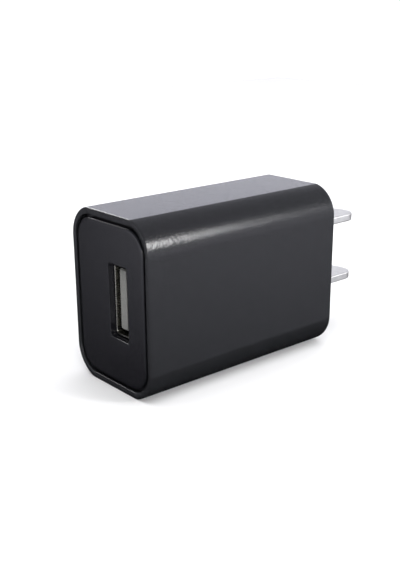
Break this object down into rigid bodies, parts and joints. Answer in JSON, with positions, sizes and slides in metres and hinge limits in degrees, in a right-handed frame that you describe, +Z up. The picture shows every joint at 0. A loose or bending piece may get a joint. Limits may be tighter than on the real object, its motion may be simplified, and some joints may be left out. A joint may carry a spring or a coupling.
{
  "type": "usb wall charger",
  "caption": "Compact black wall charger: a long rounded box with flat plug blades at one end and an upright USB port, off centre in an inset panel, at the other.",
  "frame": {"origin": "middle of the flat plug face, halfway between the two blades, where the charger meets the wall plate", "axes": "+Y out of the plug face along the blades, -Y out of the USB panel; +Z up as the charger stands on its narrow side; +X is the wide side that the circuit board lies next to"},
  "size_m": [0.0222, 0.0608, 0.0318],
  "materials": {
    "shell_plastic": "satin black, fine moulded texture",
    "panel_plastic": "satin black",
    "nickel": "nickel-plated brass",
    "bronze": "spring bronze",
    "port_steel": "drawn sheet steel, tin-plated",
    "insulator": "off-white moulded plastic",
    "contact_gold": "gold-flashed bronze",
    "ferrite": "ground ferrite",
    "bobbin": "black phenolic",
    "copper": "enamelled copper wire",
    "tape": "yellow polyester tape",
    "capacitor_sleeve": "shrunk sleeve",
    "ceramic_blue": "dipped lacquer",
    "resistor_body": "flameproof lacquer",
    "choke_sleeve": "shrunk sleeve",
    "epoxy": "moulded epoxy",
    "chip_ceramic": "fired ceramic",
    "board": "green solder mask",
    "film": "polyester sheet"
  },
  "bodies": {
    "charger": {"housing_sleeve": "shell_plastic", "front_cover": "panel_plastic", "plug_blade_upper": "nickel", "plug_blade_lower": "nickel", "blade_clip_upper": "bronze", "blade_clip_lower": "bronze", "usb_shell": "port_steel", "usb_insulator": "insulator", "usb_terminal_1": "contact_gold", "usb_terminal_2": "contact_gold", "usb_terminal_3": "contact_gold", "usb_terminal_4": "contact_gold", "transformer_core_front": "ferrite", "transformer_core_rear": "ferrite", "transformer_bobbin": "bobbin", "transformer_winding": "copper", "transformer_coil_tape": "tape", "transformer_core_tape": "tape", "input_capacitor_1": "capacitor_sleeve", "input_capacitor_2": "capacitor_sleeve", "output_capacitor": "capacitor_sleeve", "supply_capacitor": "capacitor_sleeve", "safety_capacitor": "ceramic_blue", "fusible_resistor": "resistor_body", "input_choke": "choke_sleeve", "bridge_rectifier": "epoxy", "controller_ic": "epoxy", "output_diode": "epoxy", "snubber_diode": "epoxy", "snubber_resistor": "epoxy", "snubber_capacitor": "chip_ceramic", "sense_resistor": "epoxy", "feedback_resistor_1": "epoxy", "feedback_resistor_2": "epoxy", "output_filter_capacitor": "chip_ceramic", "circuit_board": "board", "insulating_film": "film"},
    "contact_1": {"usb_contact_1": "contact_gold"},
    "contact_2": {"usb_contact_2": "contact_gold"},
    "contact_3": {"usb_contact_3": "contact_gold"},
    "contact_4": {"usb_contact_4": "contact_gold"},
    "spring_1": {"usb_spring_1": "port_steel"},
    "spring_2": {"usb_spring_2": "port_steel"},
    "spring_3": {"usb_spring_3": "port_steel"},
    "spring_4": {"usb_spring_4": "port_steel"}
  },
  "joints": [
    {"name": "contact_1_flex", "type": "hinge", "parent": "charger", "child": "contact_1", "pos_m": [0.00183, -0.0334, -0.0029], "axis": [0, 0, -1], "range_deg": [0, 4], "stiffness_Nm_per_rad": 0.08},
    {"name": "contact_2_flex", "type": "hinge", "parent": "charger", "child": "contact_2", "pos_m": [0.00183, -0.0334, -0.0004], "axis": [0, 0, -1], "range_deg": [0, 4], "stiffness_Nm_per_rad": 0.08},
    {"name": "contact_3_flex", "type": "hinge", "parent": "charger", "child": "contact_3", "pos_m": [0.00183, -0.0334, 0.0016], "axis": [0, 0, -1], "range_deg": [0, 4], "stiffness_Nm_per_rad": 0.08},
    {"name": "contact_4_flex", "type": "hinge", "parent": "charger", "child": "contact_4", "pos_m": [0.00183, -0.0334, 0.0041], "axis": [0, 0, -1], "range_deg": [0, 4], "stiffness_Nm_per_rad": 0.08},
    {"name": "spring_1_flex", "type": "hinge", "parent": "charger", "child": "spring_1", "pos_m": [-0.00024, -0.0407, -0.0025], "axis": [0, 0, 1], "range_deg": [0, 4.5], "stiffness_Nm_per_rad": 0.2},
    {"name": "spring_2_flex", "type": "hinge", "parent": "charger", "child": "spring_2", "pos_m": [-0.00024, -0.0407, 0.0037], "axis": [0, 0, 1], "range_deg": [0, 4.5], "stiffness_Nm_per_rad": 0.2},
    {"name": "spring_3_flex", "type": "hinge", "parent": "charger", "child": "spring_3", "pos_m": [0.00518, -0.0407, -0.0025], "axis": [0, 0, -1], "range_deg": [0, 4.5], "stiffness_Nm_per_rad": 0.2},
    {"name": "spring_4_flex", "type": "hinge", "parent": "charger", "child": "spring_4", "pos_m": [0.00518, -0.0407, 0.0037], "axis": [0, 0, -1], "range_deg": [0, 4.5], "stiffness_Nm_per_rad": 0.2}
  ]
}
